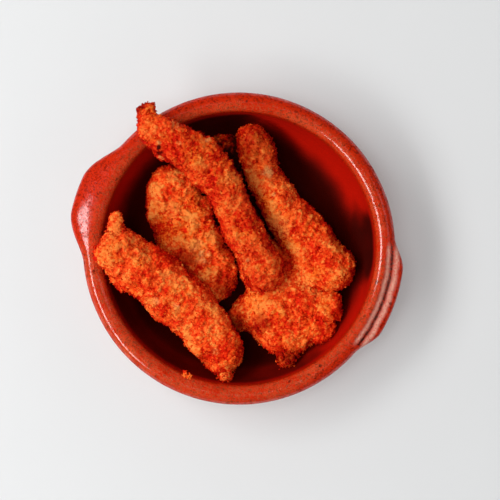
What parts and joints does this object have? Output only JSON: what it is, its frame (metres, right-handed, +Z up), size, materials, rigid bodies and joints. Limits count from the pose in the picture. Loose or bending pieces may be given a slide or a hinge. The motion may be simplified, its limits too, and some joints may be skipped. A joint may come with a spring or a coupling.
{
  "type": "chicken tenders",
  "caption": "Breaded fried chicken strips heaped in a round, shallow, glazed red clay dish with small lug handles at its rim.",
  "frame": {"origin": "centre of the flat underside of the dish, on the surface that it stands on", "axes": "+X through the middle of the smaller lug, along the line of both lugs; +Z up out of the dish; +Y across, to the left of +X seen from above"},
  "size_m": [0.1944, 0.1798, 0.0584],
  "materials": {
    "glazed_clay": "glossy glaze over red clay, bare and matt underneath",
    "crumb_coat": null
  },
  "bodies": {
    "root": {"dish": "glazed_clay", "tender_left": "crumb_coat", "tender_right": "crumb_coat", "tender_short": "crumb_coat", "tender_top": "crumb_coat", "tender_under": "crumb_coat"}
  },
  "joints": []
}
